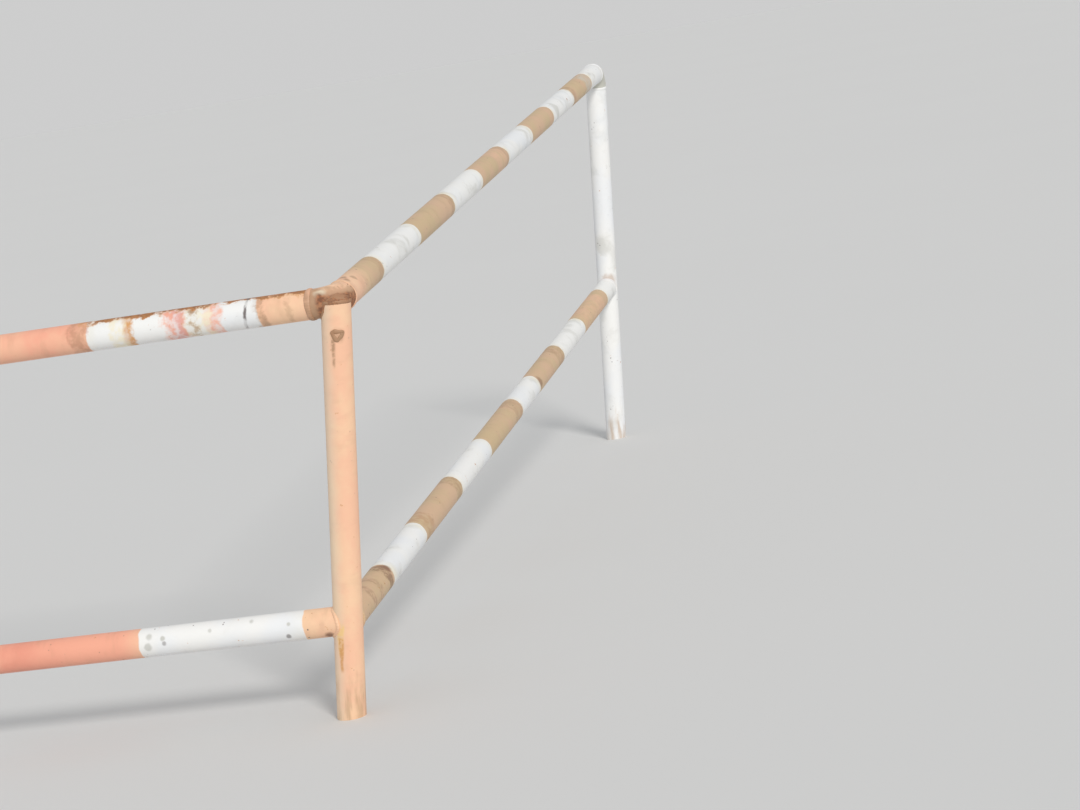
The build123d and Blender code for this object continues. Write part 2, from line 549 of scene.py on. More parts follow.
    def splashed(self, base):
        """Dirt splashed up from a post's foot, in upright streaks."""
        length = self.tube.length
        rising = self.noise(75.0, 3.0, 0.6, stretch=(1.0, 1.0, 0.16))
        splash = self.ease(self.run + rising.swing(0.20), length - 0.085, length + 0.010)
        return self.mix(splash * self.ease(rising, 0.36, 0.66, 0.10, 0.60), base, colour("splash"))

    def round_normal(self):
        """Direction out of the tube's round wall, worked out from its axis, so the wall looks round
        between the mesh's edges. On the tube's cut ends the mesh's own direction is kept: there it
        points along the tube."""
        on_axis = self.node("ShaderNodeVectorMath", {"operation": "SCALE"},
                            {0: tuple(self.tube.way), "Scale": self.run})
        outward = self.vector("SUBTRACT", self.place, self.vector("ADD", on_axis, self.tube.start))
        length = self.vector("LENGTH", outward, out="Value")
        outward = self.vector("NORMALIZE", outward)
        face = self.node("ShaderNodeNewGeometry", out="True Normal")
        agrees = self.vector("DOT_PRODUCT", face, outward, out="Value")
        wall = self.ease(agrees, 0.90, 0.93) * self.ease(length, TUBE_RADIUS * 0.93, TUBE_RADIUS * 0.95)
        mixed = self.node("ShaderNodeMix", {"data_type": "VECTOR"}, {0: wall, 4: face, 5: outward}, out=1)
        return self.vector("NORMALIZE", mixed)


def painted_tube(name, tube, wear):
    """Old brushed paint on one tube: bands, fading, dirt, chips, and rust where the tube has it."""
    paint = TubePaint(name, tube, wear)
    base, share = paint.bands()
    base, solid = paint.rusted(paint.marked(base), paint.rust(), paint.fine, paint.coarse)
    chips = paint.chips()
    base = paint.mix(chips, base, colour("primer"))
    if tube.upright:
        base = paint.splashed(base)
    height = paint.coarse * 0.22 + paint.fine * 0.10 + share * 0.12
    height = height - chips * 0.5 + solid * paint.fine * 0.5
    return paint.finish(base, 0.52 + solid * 0.33 + chips * 0.2, height, 0.0010, paint.round_normal())


def weld_paint(name, over, clouds, rusty, toes=0.08):
    """Painted-over weld metal. The paint has come off in patches, more on the bead's toes than on
    its crown by the share toes, and the more so the rustier it is, from 0 to 1."""
    paint = Paint(name)
    crown = paint.node("ShaderNodeAttribute", {"attribute_name": "crown"}, out="Fac")
    fine = paint.noise(220.0, 3.0, 0.6)
    coarse = paint.noise(60.0, 3.0, 0.6)
    bare = coarse + fine.swing(0.2) + (0.5 - crown) * toes
    low = 0.78 - 0.36 * rusty
    grime = paint.ease(paint.noise(25.0, 3.0), 0.4, 0.65) * (0.1 + 0.6 * rusty)
    base = paint.mix(grime, paint.clouded(over, clouds), colour("brown"))
    rust = paint.ease(bare, low, low + 0.16)
    base, solid = paint.rusted(base, rust, fine, coarse, "brown" if rusty > 0.5 else "orange")
    return paint.finish(base, 0.55 + solid * 0.3, fine * 0.35 + coarse * 0.5, 0.0008)


def corner_elbow_paint(bend):
    """Paint on the corner elbow: faded red on top with a painted highlight in cream and brown
    specks, a brown collar towards the long part, and rust darkened by painted shade low down in
    front, where it sinks into the post."""
    paint = Paint("corner_elbow_paint")
    fine = paint.noise(190.0, 3.0, 0.6)
    coarse = paint.noise(50.0, 3.0, 0.55, warp=0.3)
    height = paint.along(bend.corner, corner_up) / TUBE_RADIUS
    road = paint.along(bend.corner, bend.on)
    wing = paint.along(bend.corner, bend.back)
    base = paint.mix(paint.ease(paint.noise(30.0, 3.0), 0.40, 0.62) * 0.6, colour("salmon"), colour("peach"))
    base = paint.mix(paint.ease(coarse, 0.36, 0.60) * 0.62, base, colour("brown"))
    collar = paint.ease(road + coarse.swing(0.020), 0.010, 0.028)
    collar = collar * paint.ease(height + coarse.swing(0.5), 0.55, 1.0, 0.75, 0.3)
    base = paint.mix(collar, base, colour("brown"))
    # Painted highlight: a cream spot on the elbow's upper side near the long part
    highlight_place = bend.point(0.74, 0.80 if bend.hinge @ UP > 0 else -0.80, TUBE_RADIUS)
    pale = paint.away(highlight_place) + coarse.swing(0.018)
    base = paint.mix(paint.ease(pale, 0.003, 0.013, 0.9, 0.0), base, colour("cream"))
    specks = paint.ease(paint.noise(85.0, 3.0, 0.6), 0.55, 0.66) * paint.ease(wing, 0.0, 0.03, 0.2, 0.8)
    # Rust with painted shade: darkest low in front where the elbow sinks into the post, weaker towards the
    # long part
    rust_and_shade = paint.ease(height + coarse.swing(0.7), 0.25, 0.95, 0.85, 0.0)
    rust_and_shade = rust_and_shade * paint.ease(road, 0.018, 0.032, 1.0, 0.40)
    base, solid = paint.rusted(base, paint.larger(rust_and_shade, specks), fine, coarse, "brown")
    return paint.finish(base, 0.52 + solid * 0.33, coarse * 0.35 + solid * fine * 0.5, 0.0010)


def end_elbow_paint(name, bend):
    """Paint on an end elbow: white with a painted highlight in cream on top, and painted shade in grey-green
    on its inner side.
    """
    paint = Paint(name)
    fine = paint.noise(190.0, 3.0, 0.6)
    coarse = paint.noise(50.0, 3.0, 0.55, warp=0.3)
    height = paint.along(bend.corner, UP) / TUBE_RADIUS
    # Painted highlight: the elbow's top turned cream
    base = paint.mix(paint.ease(height + coarse.swing(1.2), 0.1, 0.9), colour("white"), colour("cream"))
    # Painted shade in grey-green on the inner side of the bend
    inner = paint.along(bend.corner, unit(bend.back + bend.on)) / TUBE_RADIUS
    dirt = paint.ease(inner + coarse.swing(0.9), 0.1, 0.8)
    base = paint.mix(dirt * 0.65, base, colour("inner_shade"))
    specks = paint.ease(paint.noise(70.0, 3.0, 0.6), 0.64, 0.74) * 0.7
    base, solid = paint.rusted(base, specks, fine, coarse)
    return paint.finish(base, 0.52 + solid * 0.33, coarse * 0.35 + solid * fine * 0.5, 0.0010)


# Mesh building

def add_piece(name, points, faces, material, attributes=None):
    """A finished piece of points and faces, smooth, riding on the railing's one body."""
    mesh = bpy.data.meshes.new(name)
    mesh.from_pydata(points.reshape(-1, 3).tolist(), [], faces.tolist())
    mesh.polygons.foreach_set("use_smooth", np.ones(len(mesh.polygons), bool))
    for key, values in (attributes or {}).items():
        layer = mesh.attributes.new(key, "FLOAT", "POINT")
        layer.data.foreach_set("value", np.asarray(values, np.float32).ravel())
    mesh.materials.append(material)
    mesh.validate()
    piece = bpy.data.objects.new(name, mesh)
    bpy.context.scene.collection.objects.link(piece)
    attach(piece, "root")
    return piece


def wrapped_faces(rows, columns):
    """Four-cornered faces of a grid that closes on itself in both directions."""
    row, column = np.meshgrid(np.arange(rows), np.arange(columns), indexing="ij")
    next_row, next_column = (row + 1) % rows, (column + 1) % columns
    corners = [row * columns + column, next_row * columns + column,
               next_row * columns + next_column, row * columns + next_column]
    return np.stack(corners, -1).reshape(-1, 4)


def facing_out(points):
    """Faces of a closed grid of points, turned so that its volume is positive."""
    faces = wrapped_faces(*points.shape[:2])
    flat = points.reshape(-1, 3)
    flat = flat - flat.mean(0)
    a, b, c, d = (flat[faces[:, k]] for k in range(4))
    volume = np.einsum("ij,ij->i", np.cross(a, b), c) + np.einsum("ij,ij->i", np.cross(a, c), d)
    return faces if volume.sum() > 0 else faces[:, ::-1]


def add_closed_grid(name, points, material, attributes=None):
    """A piece from a grid of points that closes on itself in both directions."""
    return add_piece(name, points, facing_out(points), material, attributes)


def elbow_shell(bend, lengthwise=40, around=72):
    """A hollow elbow: its outside wall from end to end and its bore back again. With v the angle
    about the tube and u the share along the arc, point = bend's surface at (u, v), first at the
    tube's radius and then at its bore's radius."""
    share = np.linspace(0.0, 1.0, lengthwise)
    along = np.concatenate([share, share[::-1]])
    radius = np.where(np.arange(2 * lengthwise) < lengthwise, TUBE_RADIUS, TUBE_RADIUS - TUBE_WALL)
    angle = np.linspace(0.0, 2 * pi, around, endpoint=False)
    u, v = np.meshgrid(along, angle, indexing="ij")
    return bend.point(u, v, radius[:, None, None])


def slow_waves(s, total, seed, rows=3):
    """Rows of slow waves along a closed line: sums of sines of 1, 2, 3, 5, 8 and 13 turns with
    random strengths and starts, each over its turns to the power 0.6."""
    rng = np.random.default_rng(seed)
    turns = np.array([1, 2, 3, 5, 8, 13])
    strength = rng.normal(size=(rows, turns.size)) / turns ** 0.6
    start = rng.uniform(0, 2 * pi, (rows, turns.size))
    angle = 2 * pi * turns[:, None] * s / total
    return (strength[..., None] * np.sin(angle + start[..., None])).sum(1)


def bead(line, normal, width, height, ripple, seed, section=10):
    """A weld bead along a closed line of points. With s the distance along it and t the angle
    about its section, point = line + across * width/2 * cos(t) + normal * height * sin(t), where
    across is square to the line and the normal. Height follows the ripples, 1 + 0.09 * cos(2 pi *
    ripples * s / total), and width, height, place and the ripples' spacing wander slowly.
    Returns the grid of points and how high each stands in its section, from 0 to 1."""
    ahead = np.roll(line, -1, 0) - np.roll(line, 1, 0)
    ahead = ahead / np.linalg.norm(ahead, axis=1, keepdims=True)
    across = np.cross(ahead, normal)
    across = across / np.linalg.norm(across, axis=1, keepdims=True)
    step = np.linalg.norm(np.roll(line, -1, 0) - line, axis=1)
    total = step.sum()
    s = np.concatenate([[0.0], np.cumsum(step)[:-1]])
    wide, tall, shift = slow_waves(s, total, seed)
    ripples = max(3, round(total / ripple))
    hump = np.cos(2 * pi * ripples * s / total + 1.6 * shift)
    half = width / 2 * (1 + 0.09 * wide + 0.03 * hump)
    high = height * (1 + 0.12 * tall + 0.09 * hump)
    t = np.linspace(0, 2 * pi, section, endpoint=False)
    sides = across[:, None] * half[:, None, None] * np.cos(t)[None, :, None]
    rise = normal[:, None] * high[:, None, None] * np.sin(t)[None, :, None]
    middle = line + across * (width * 0.05 * shift)[:, None]
    crown = np.clip(np.sin(t), 0, 1)[None, :] * (0.9 + 0.1 * hump)[:, None]
    return middle[:, None] + sides + rise, crown


def ring_line(centre, way, count=240):
    """A circle round a tube, square to its way: centre + R * (cos(a) * e1 + sin(a) * e2)."""
    first = unit(np.cross(way, UP if abs(way[2]) < 0.9 else np.array([1.0, 0.0, 0.0])))
    second = np.cross(way, first)
    a = np.linspace(0, 2 * pi, count, endpoint=False)[:, None]
    out = first * np.cos(a) + second * np.sin(a)
    return centre + out * TUBE_RADIUS, out


def seam_line(meeting, way, other_way, lip, count=320):
    """Where a tube that comes along its way meets the wall of a tube of the same size. At angle a
    about the first tube's axis the point is meeting + R * (cos(a) * e1 + sin(a) * e2) - x * way,
    and x is the root that puts it R from the other tube's axis, or the lip where the tube is cut
    off before that, with a rounding between the two. There the line sinks halfway to the other
    wall, and the returned depth says how far. The normal is halfway between the two walls."""
    first = unit(np.cross(other_way, way))
    second = np.cross(way, first)
    a = np.linspace(0, 2 * pi, count, endpoint=False)[:, None]
    out = first * np.cos(a) + second * np.sin(a)
    ring = out * TUBE_RADIUS
    ring_off = ring - other_way * (ring @ other_way)[:, None]
    way_off = way - other_way * (way @ other_way)
    square = way_off @ way_off
    half_b = -(ring_off @ way_off)
    rest = (ring_off * ring_off).sum(1) - TUBE_RADIUS ** 2
    root = (-half_b + np.sqrt(np.maximum(half_b ** 2 - square * rest, 0.0))) / square
    x = (root + lip + np.sqrt((root - lip) ** 2 + SEAM_ROUNDING ** 2)) / 2
    offset = ring - way * x[:, None]
    other_out = offset - other_way * (offset @ other_way)[:, None]
    from_axis = np.linalg.norm(other_out, axis=1, keepdims=True)
    other_out = other_out / from_axis
    depth = (from_axis - TUBE_RADIUS) / 2
    normal = out + other_out
    normal = normal / np.linalg.norm(normal, axis=1, keepdims=True)
    return meeting + offset - other_out * depth, normal, depth[:, 0]


def add_bead(name, line, normal, material, seed, width=1.0, height=1.0, depth=0.0):
    """One closed bead along a line, in shares of the set width and height, and so much deeper."""
    s = sizes()
    points, crown = bead(line, normal, s.bead_width * width, s.bead_height * height + depth, s.ripple, seed)
    return add_closed_grid(name, points, material, {"crown": crown})


# Operators

def dress(looks):
    """Give CAD nodes their finished materials."""
    for node, wear in looks.items():
        material = painted_tube(f"{node}_paint", TUBES[node], wear)
        for slot in frame["nodes"][node].material_slots:
            slot.link = "OBJECT"
            slot.material = material


class RAILING_OT_posts(bpy.types.Operator):
    """Paint the five posts"""
    bl_idname = "railing.posts"
    bl_label = "Paint Posts"

    def execute(self, context):
        dress({
            "corner_post": Wear(
                # The corner post gets a painted highlight in cream down the side 78 degrees from its face
                chips=0.2, grime=0.12, highlight_side=78, spots=[(0.050, -16, 0.015, "brown", 0.6)],
                streaks=[(0.062, 0.096, 1, 0.07, "brown"), (0.534, 0.574, 20, 0.28, "yellow"),
                         (0.556, 0.602, 17, 0.14, "orange")]),
            "wing_end_post": Wear(
                all_white=True, chips=0.7, dirt=0.4,
                spots=[(RAIL_SPACING - 0.02, -20, 0.022, "brown", 0.5), (0.42, 10, 0.03, "grey", 0.5)]),
            "road_post_1": Wear(all_white=True, chips=0.6, dirt=0.5),
            "road_post_2": Wear(chips=0.4, turns=[(0.1, 0.6, "red", "salmon")]),
            "road_end_post": Wear(all_white=True, chips=0.6, dirt=0.5),
        })
        return {"FINISHED"}


class RAILING_OT_rails(bpy.types.Operator):
    """Paint the bands, fading and rust of the eight rails"""
    bl_idname = "railing.rails"
    bl_label = "Paint Rails"

    def execute(self, context):
        dress({
            "wing_top_rail": Wear(
                [(0.229, 0.512), (0.798, 1.059), (1.321, 1.588), (1.839, 2.103), (2.345, 2.60)],
                turns=[(0.04, 0.19, "tan", "olive")], chips=0.6, dirt=0.6, grime=0.2,
                patches=[(0.20, 0.228, "brown", 0.35, 0.5), (0.77, 0.797, "brown", 0.5, 0.6),
                         (1.22, 1.30, "salmon", 0.25, 0.7), (1.30, 1.32, "brown", 0.45, 0.6),
                         (2.10, 2.13, "brown", 0.5, 0.6), (2.27, 2.34, "grey", 0.6, 0.7)],
                spots=[(0.052, 20, 0.010, "brown", 0.8), (0.066, -5, 0.009, "brown", 0.8),
                       (0.078, 30, 0.008, "brown", 0.6), (1.89, 60, 0.03, "grey", 0.6)]),
            "wing_lower_rail": Wear(
                [(0.220, 0.465), (0.762, 1.032), (1.342, 1.540), (1.820, 2.090), (2.40, 2.60)],
                red="tan", clouds="olive", chips=0.6, dirt=0.6, grime=0.2,
                # The thin faint dark rings at 0.080 and 0.128 are painted shadows of twigs
                patches=[(0.188, 0.214, "dark_rust", 0.65, 0.9), (0.080, 0.098, "dark_rust", 0.35, 0.95),
                         (0.128, 0.142, "dark_rust", 0.3, 0.95), (0.475, 0.53, "rust", 0.35, 0.9),
                         (0.72, 0.76, "brown", 0.6, 0.7), (1.28, 1.34, "brown", 0.4, 0.7),
                         (1.76, 1.82, "brown", 0.5, 0.7), (2.10, 2.35, "salmon", 0.35, 0.6)],
                spots=[(0.212, 40, 0.016, "dark_rust", 0.7), (1.55, 70, 0.018, "dark_rust", 0.6)]),
            "road_top_rail_1": Wear(
                road_bands(0.124, 0.420), turns=[(0.40, 0.47, "red", "salmon")], dirt=0.2, grime=0.2,
                top_rust=(0.05, 0.40, 1.0), cracks=[(0.146, 0.004, 0.0010)],
                patches=[(0.187, 0.214, "red", 0.85, 0.6), (0.206, 0.250, "cream", 0.9, 0.7),
                         (0.228, 0.240, "brown", 0.7, 0.95), (0.247, 0.280, "deep_red", 0.75, 0.65),
                         (0.270, 0.286, "red", 0.8, 0.8), (0.114, 0.124, "brown", 0.6, 0.7),
                         (0.068, 0.074, "brown", 0.35, 0.9), (0.341, 0.354, "orange", 0.95, 0.45),
                         (0.352, 0.378, "cream", 0.8, 0.8), (0.422, 0.448, "deep_red", 0.35, 0.6),
                         (0.424, 0.446, "brown", 0.50, 0.55)],
                spots=[(0.235, -35, 0.008, "brown", 0.8)]),
            "road_lower_rail_1": Wear(
                road_bands(0.070, 0.360),
                turns=[(0.34, 0.40, "red", "red"), (0.40, 0.75, "deep_red", "red")],
                chips=0.9, dirt=0.12, grime=0.2,
                # The dark spot at 0.030 under the joint with the post is rust with painted shade
                spots=[(0.030, -140, 0.013, "dark_rust", 0.8), (0.098, -114, 0.006, "primer", 0.7),
                       (0.094, -64, 0.005, "grey", 0.9), (0.314, -84, 0.005, "primer", 0.55),
                       (0.316, -64, 0.006, "grey", 0.95), (0.340, -50, 0.008, "grey", 0.8),
                       (0.344, -92, 0.008, "grey", 0.8), (0.160, -35, 0.006, "grey", 0.8),
                       (0.232, -55, 0.005, "grey", 0.7)]),
            "road_top_rail_2": Wear(
                road_bands(0.140, 0.435), red="red", clouds="salmon",
                turns=[(0.9, 1.6, "salmon", "peach")], top_rust=(0.3, 2.1, 0.8),
                patches=[(0.137, 0.150, "orange", 0.8, 0.6), (1.04, 1.07, "red", 0.8, 0.7)]),
            "road_lower_rail_2": Wear(
                road_bands(0.120, 0.410), red="red", clouds="salmon",
                turns=[(0.8, 1.6, "deep_red", "red")], chips=0.8),
            "road_top_rail_3": Wear(
                road_bands(0.130, 0.425), turns=[(0.8, 1.6, "red", "salmon")], top_rust=(0.6, 2.3, 0.8),
                patches=[(0.73, 0.76, "red", 0.8, 0.7), (1.49, 1.51, "orange", 0.8, 0.6)]),
            "road_lower_rail_3": Wear(
                road_bands(0.110, 0.400), red="red", clouds="salmon",
                turns=[(0.8, 1.6, "salmon", "peach")], chips=0.8),
        })
        return {"FINISHED"}


def road_bands(start, end, shorter=0.02, last=2.52):
    """White bands of a rail of the long part: the first one, and on at the same spacing while
    whole bands fit before the last place. The red between them is shorter than they by so much."""
    pitch = 2 * (end - start) - shorter
    return [(start + pitch * k, end + pitch * k) for k in range(5) if end + pitch * k < last]


class RAILING_OT_elbows(bpy.types.Operator):
    """Smooth weld elbows at the corner and at both far ends"""
    bl_idname = "railing.elbows"
    bl_label = "Add Elbows"

    def execute(self, context):
        looks = {"corner_elbow": (corner_elbow_paint(BENDS["corner_elbow"]), "faded_red_paint")}
        for node in ("wing_end_elbow", "road_end_elbow"):
            looks[node] = (end_elbow_paint(f"{node}_paint", BENDS[node]), "white_paint")
        for node, (look, slot) in looks.items():
            piece = add_closed_grid(f"smooth_{node}", elbow_shell(BENDS[node]), look)
            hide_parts(node)
        return {"FINISHED"}


class RAILING_OT_ring_welds(bpy.types.Operator):
    """Ring beads at the elbows' ends and where the top rail is butted over a post"""
    bl_idname = "railing.ring_welds"
    bl_label = "Add Ring Welds"

    def execute(self, context):
        rusty = weld_paint("weld_rusty", "brown", "salmon", 0.55)
        worn = weld_paint("weld_worn", "salmon", "peach", 0.40)
        pale = weld_paint("weld_white", "white", "sky_blue", 0.05)
        bend = BENDS["corner_elbow"]
        rings = [("corner_ring_road", bend.mouth(bend.on), bend.on, rusty, 1.0),
                 ("corner_ring_wing", bend.mouth(bend.back), bend.back, worn, 0.8)]
        for end in ("wing_end", "road_end"):
            bend = BENDS[f"{end}_elbow"]
            rings.append((f"{end}_ring_rail", bend.mouth(bend.back), bend.back, pale, 0.7))
            rings.append((f"{end}_ring_post", bend.mouth(bend.on), bend.on, pale, 0.7))
        for i in (1, 2):
            rings.append((f"road_butt_{i}", road_tops[i], TUBES["road_top_rail_1"].way, worn, 0.8))
        for seed, (name, place, way, material, size) in enumerate(rings):
            line, out = ring_line(place, way)
            add_bead(f"{name}_weld", line, out, material, 20 + seed, size, size)
        return {"FINISHED"}


class RAILING_OT_seam_welds(bpy.types.Operator):
    """Beads round every saddle and cope"""
    bl_idname = "railing.seam_welds"
    bl_label = "Add Seam Welds"

    def execute(self, context):
        salmon = weld_paint("seam_salmon", "salmon", "peach", 0.08)
        dull = weld_paint("seam_tan", "tan", "olive", 0.5)
        pale = weld_paint("seam_white", "white", "sky_blue", 0.2)
        wing_way = TUBES["wing_lower_rail"].way
        road_way = TUBES["road_top_rail_1"].way
        seams = [
            ("wing_lower_near", corner_low, -wing_way, corner_up, COPE_LIP, dull),
            ("wing_lower_far", end_low, wing_way, end_up, COPE_LIP, pale),
        ]
        for i in range(3):
            near, far = (pale, salmon) if i == 1 else (salmon, pale)
            seams.append((f"road_lower_{i + 1}_near", road_lows[i], -road_way, corner_up, COPE_LIP, near))
            seams.append((f"road_lower_{i + 1}_far", road_lows[i + 1], road_way, corner_up, COPE_LIP, far))
        for i, look in ((1, pale), (2, salmon)):
            seams.append((f"road_saddle_{i}", road_tops[i], corner_up, road_way, SADDLE_LIP, look))
        for seed, (name, place, way, other, lip, material) in enumerate(seams):
            line, normal, depth = seam_line(place, way, other, lip)
            add_bead(f"{name}_weld", line, normal, material, 50 + seed, 0.9, 0.8, depth)
        return {"FINISHED"}


class RAILING_OT_corner_weld(bpy.types.Operator):
    """The heavy weld that fills the corner post's open rim up to the elbow"""
    bl_idname = "railing.corner_weld"
    bl_label = "Add Corner Weld"

    def execute(self, context):
        look = weld_paint("corner_fill_rust", "brown", "rust", 1.0, 0.25)
        points, crown = rim_fill(BENDS["corner_elbow"])
        add_closed_grid("corner_rim_weld", points, look, {"crown": crown})
        line, normal = under_line(BENDS["corner_elbow"])
        add_bead("corner_seat_weld", line, normal, look, 91, 0.8, 0.7)
        return {"FINISHED"}


def out_of_corner(bend):
    """Two directions across the corner post: away from the bend, and square to that."""
    out = -unit(bend.back + bend.on)
    return out, unit(np.cross(corner_up, out))


def rim_lines(bend, around):
    """Two lines round the outside of the corner, at even angles a about the post, 0 facing out
    of the corner: along the post's rim and along the elbow's outside. In plan they are circles,
    and the second line's point lies on the ray from the corner at angle a, so the two run
    together where the circles cross. Returns both lines and the rays' directions."""
    out, side = out_of_corner(bend)
    outside, off = ELBOW_RADIUS + TUBE_RADIUS, ELBOW_RADIUS / cos(bend.turn / 2)
    last = pi - np.arccos((off ** 2 + TUBE_RADIUS ** 2 - outside ** 2) / (2 * off * TUBE_RADIUS))
    a = np.linspace(-last, last, around)
    direction = out * np.cos(a)[:, None] + side * np.sin(a)[:, None]
    rim = bend.corner + direction * (TUBE_RADIUS - FILL_INSET) - corner_up * FILL_SINK
    ray = np.sqrt(outside ** 2 - (off * np.sin(a)) ** 2) - off * np.cos(a)
    share = 0.5 - np.arctan2(ray * np.sin(a), off + ray * np.cos(a)) / bend.turn
    lift = FILL_RISE * np.sqrt(np.clip(1 - (a / last) ** 2, 0.0, 1.0))
    sign = 1.0 if bend.hinge @ UP > 0 else -1.0
    return rim, bend.point(share, sign * lift, TUBE_RADIUS - FILL_SINK), direction


def lumps(along, up, seed=7, count=24):
    """Lumpiness over a grid: the sum of sines of random waves in both directions, each with a
    random start and a random strength over the root of its waves along."""
    rng = np.random.default_rng(seed)
    waves_along, waves_up = rng.uniform(3, 30, count), rng.uniform(0.5, 5, count)
    strength, start = rng.normal(size=count), rng.uniform(0, 2 * pi, count)
    phase = 2 * pi * (waves_along * along[..., None] + waves_up * up[..., None]) + start
    return (strength / waves_along ** 0.5 * np.sin(phase)).sum(-1)


def rim_fill(bend, around=96, across=16):
    """Weld metal from the post's rim up the elbow's outside. With u from 0 at the rim to 1 on the
    elbow, the face is rim * (1 - u) + elbow * u, bulged outwards by a parabola in u and some
    lumpiness, and 0.4 times as much upwards; a second sheet just inside closes it. Returns the
    grid of points and u for each."""
    rim, elbow, direction = rim_lines(bend, around)
    v, u = np.meshgrid(np.linspace(0, 1, around), np.linspace(0, 1, across), indexing="ij")
    bulge = FILL_BULGE * 4 * u * (1 - u) + FILL_LUMPS * lumps(v, u) * np.sin(pi * u)
    face = rim[:, None] * (1 - u[..., None]) + elbow[:, None] * u[..., None]
    face = face + (direction[:, None] + corner_up * 0.4) * bulge[..., None]
    inner = face - direction[:, None] * FILL_WALL - corner_up * FILL_TUCK
    crown = np.concatenate([u, u[:, ::-1]], axis=1)
    return np.concatenate([face, inner[:, ::-1]], axis=1), crown


def under_line(bend, count=360, steps=241, window=9):
    """Where the corner post's wall meets the elbow that lies in it. At angle a about the post the
    point is at the post's radius and so far down that its distance from the elbow's arc is the
    tube's radius, and at the rim where the elbow doesn't reach. The line is then smoothed over a
    window of points, and its normals tip down a little."""
    out, side = out_of_corner(bend)
    a = np.linspace(0, 2 * pi, count, endpoint=False)[:, None]
    direction = out * np.cos(a) + side * np.sin(a)
    wall = bend.corner + direction * TUBE_RADIUS
    depth = np.linspace(-SEAT_DEPTH, 0.0, steps)
    probe = wall[:, None] + corner_up * depth[None, :, None]
    offset = probe - bend.centre
    height = offset @ bend.hinge
    flat = offset - bend.hinge * height[..., None]
    reach = np.linalg.norm(flat, axis=-1)
    from_arc = np.sqrt(height ** 2 + (reach - ELBOW_RADIUS) ** 2)
    inside = from_arc < TUBE_RADIUS
    first = np.where(inside.any(1), inside.argmax(1), len(depth) - 1)
    line = wall + corner_up * depth[first][:, None]
    past = window // 2
    around = np.concatenate([line[-past:], line, line[:past]])
    kernel = np.ones(window) / window
    smooth = np.stack([np.convolve(around[:, k], kernel, "valid") for k in range(3)], -1)
    normal = direction - corner_up * 0.2
    return smooth, normal / np.linalg.norm(normal, axis=1, keepdims=True)


class RAILING_OT_scar(bpy.types.Operator):
    """Rusty stub of an old weld on the corner post, under the rim"""
    bl_idname = "railing.scar"
    bl_label = "Add Weld Scar"

    def execute(self, context):
        look = weld_paint("scar_rust", "brown", "rust", 0.6)
        line, normal = scar_line(TUBES["corner_post"])
        add_bead("post_scar_weld", line, normal, look, 77, 0.70, 0.60)
        return {"FINISHED"}


def scar_line(post, count=160):
    """A rounded triangle, point down, laid on the post's wall: width = cos(t) * (1 + 0.4 *
    sin(t)), height = sin(t) + 0.2 * cos(2t), and both are wrapped round the tube."""
    t = np.linspace(0, 2 * pi, count, endpoint=False)
    height = SCAR_HEIGHT * (np.sin(t) + 0.2 * np.cos(2 * t))
    width = SCAR_WIDTH * np.cos(t) * (1 + 0.4 * np.sin(t))
    angle = (width + SCAR_ASIDE) / TUBE_RADIUS
    facing = post.face * np.cos(angle)[:, None] - post.side * np.sin(angle)[:, None]
    line = post.at(SCAR_DOWN) + facing * TUBE_RADIUS - post.way * height[:, None]
    return line, facing


class RAILING_OT_stage(bpy.types.Operator):
    """Plain floor, soft light and the camera"""
    bl_idname = "railing.stage"
    bl_label = "Set the Stage"

    def execute(self, context):
        scene = context.scene
        add_floor(scene)
        add_world(scene)
        add_sun(scene)
        add_camera(scene)
        scene.view_settings.view_transform = "Standard"
        return {"FINISHED"}


def add_floor(scene):
    """A pale floor through the posts' feet, which stand at different heights."""
    wing, road = feet["wing_end_foot"], feet["road_end_foot"]
    slope = np.linalg.solve(np.array([wing[:2], road[:2]]), np.array([wing[2], road[2]]))
    reach = sizes().floor_reach
    xy = np.array([[-1, -1], [1, -1], [1, 1], [-1, 1]], float) * reach
    points = np.column_stack([xy, xy @ slope])
    mesh = bpy.data.meshes.new("floor")
    mesh.from_pydata(points.tolist(), [], [(0, 1, 2, 3)])
    paint = Paint("floor_paint")
    tone = paint.ease(paint.noise(0.6, 2.0), 0.3, 0.7)
    base = paint.mix(tone * 0.3, colour("floor"), tuple(c * 0.98 for c in colour("floor")[:3]) + (1.0,))
    mesh.materials.append(paint.finish(base, 0.9, tone, 0.0001))
    floor = bpy.data.objects.new("floor", mesh)
    scene.collection.objects.link(floor)


def add_world(scene):
    """Soft light from all round; the camera and mirrors see a backdrop of the floor's tone."""
    scene.world = bpy.data.worlds.new("soft_world")
    nodes = Nodes(scene.world)
    camera, glossy, passing = (nodes.node("ShaderNodeLightPath", out=f"Is {ray} Ray")
                               for ray in ("Camera", "Glossy", "Transmission"))
    seen = nodes.larger(nodes.larger(camera, glossy), passing)
    soft = nodes.node("ShaderNodeBackground", {}, {
        "Color": (0.96, 0.98, 1.0, 1.0), "Strength": SOFT_STRENGTH})
    backdrop = nodes.node("ShaderNodeBackground", {}, {
        "Color": (1.0, 1.0, 1.0, 1.0), "Strength": BACKDROP_STRENGTH})
    light = nodes.node("ShaderNodeMixShader", {}, {0: seen, 1: soft, 2: backdrop})
    nodes.node("ShaderNodeOutputWorld", {}, {"Surface": light}, out=None)


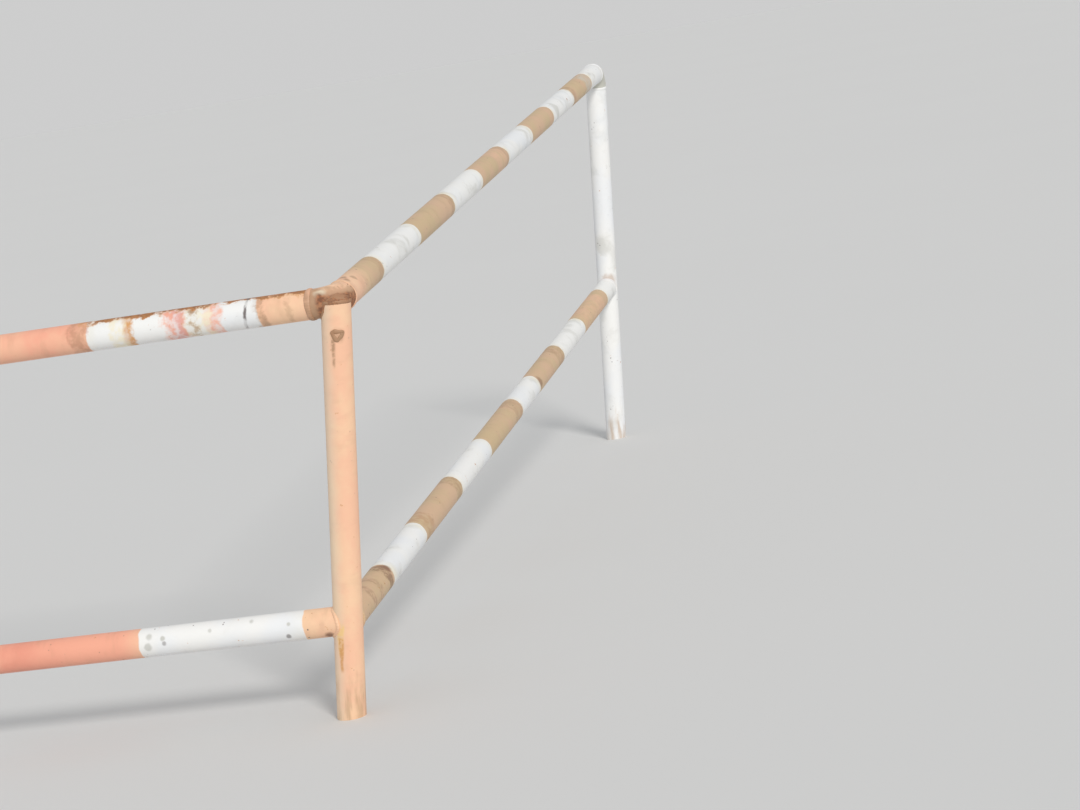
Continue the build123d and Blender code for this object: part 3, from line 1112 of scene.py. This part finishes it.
def add_sun(scene):
    """A sun lamp at the front right, wide enough for soft shadows."""
    lamp = bpy.data.lights.new("soft_sun", "SUN")
    lamp.energy = SUN_STRENGTH
    lamp.angle = radians(SUN_WIDTH)
    lamp.color = (1.0, 0.975, 0.94)
    sun = bpy.data.objects.new("soft_sun", lamp)
    turn, height = radians(SUN_TURN), radians(SUN_HEIGHT)
    towards = Vector((-sin(turn) * cos(height), cos(turn) * cos(height), -sin(height)))
    sun.rotation_euler = towards.to_track_quat("-Z", "Y").to_euler()
    scene.collection.objects.link(sun)


def add_camera(scene):
    """The photograph's station point. Its axis is turned by the shortest arc from the photograph's
    middle to the railing, so upright lines keep their slant, and the lens takes in the railing."""
    data = bpy.data.cameras.new("camera")
    camera = bpy.data.objects.new("camera", data)
    scene.collection.objects.link(camera)
    camera.location = Vector((corner_top + CAMERA_OFFSET).tolist())
    yaw, pitch = radians(PHOTO_YAW), radians(PHOTO_PITCH)
    axis = Vector((sin(yaw) * cos(pitch), cos(yaw) * cos(pitch), -sin(pitch)))
    level = axis.to_track_quat("-Z", "Y")
    right, down = ((seen - middle) / PHOTO_LENS for seen, middle in zip(RAILING_PIXEL, PHOTO_MIDDLE))
    railing = Vector((right, -down, -1.0)).normalized()
    turn = Vector((0.0, 0.0, -1.0)).rotation_difference(railing)
    camera.rotation_mode = "QUATERNION"
    camera.rotation_quaternion = level @ turn
    data.sensor_width = 36.0
    data.lens = data.sensor_width / 2 / tan(radians(LENS_ANGLE) / 2)
    data.clip_end = 300.0
    scene.camera = camera


class RAILING_PT_panel(bpy.types.Panel):
    """Pieces of the railing"""
    bl_label = "Guard Railing"
    bl_idname = "RAILING_PT_panel"
    bl_space_type = "VIEW_3D"
    bl_region_type = "UI"
    bl_category = "Railing"

    def draw(self, context):
        column = self.layout.column(align=True)
        for operator in OPERATORS:
            column.operator(operator.bl_idname)
        for group in (context.scene.railing_sizes, context.scene.railing_colours):
            box = self.layout.box()
            for name in group.bl_rna.properties.keys():
                if name not in ("rna_type", "name"):
                    box.prop(group, name)


OPERATORS = (
    RAILING_OT_posts,
    RAILING_OT_rails,
    RAILING_OT_elbows,
    RAILING_OT_ring_welds,
    RAILING_OT_seam_welds,
    RAILING_OT_corner_weld,
    RAILING_OT_scar,
    RAILING_OT_stage,
)
CLASSES = (RailingSizes, RailingColours, RAILING_PT_panel) + OPERATORS


def register():
    for cls in CLASSES:
        bpy.utils.register_class(cls)
    bpy.types.Scene.railing_sizes = bpy.props.PointerProperty(type=RailingSizes)
    bpy.types.Scene.railing_colours = bpy.props.PointerProperty(type=RailingColours)


def unregister():
    del bpy.types.Scene.railing_colours
    del bpy.types.Scene.railing_sizes
    for cls in reversed(CLASSES):
        bpy.utils.unregister_class(cls)


def main():
    register()
    for operator in OPERATORS:
        group, name = operator.bl_idname.split(".")
        getattr(getattr(bpy.ops, group), name)()


if __name__ == "__main__":
    main()
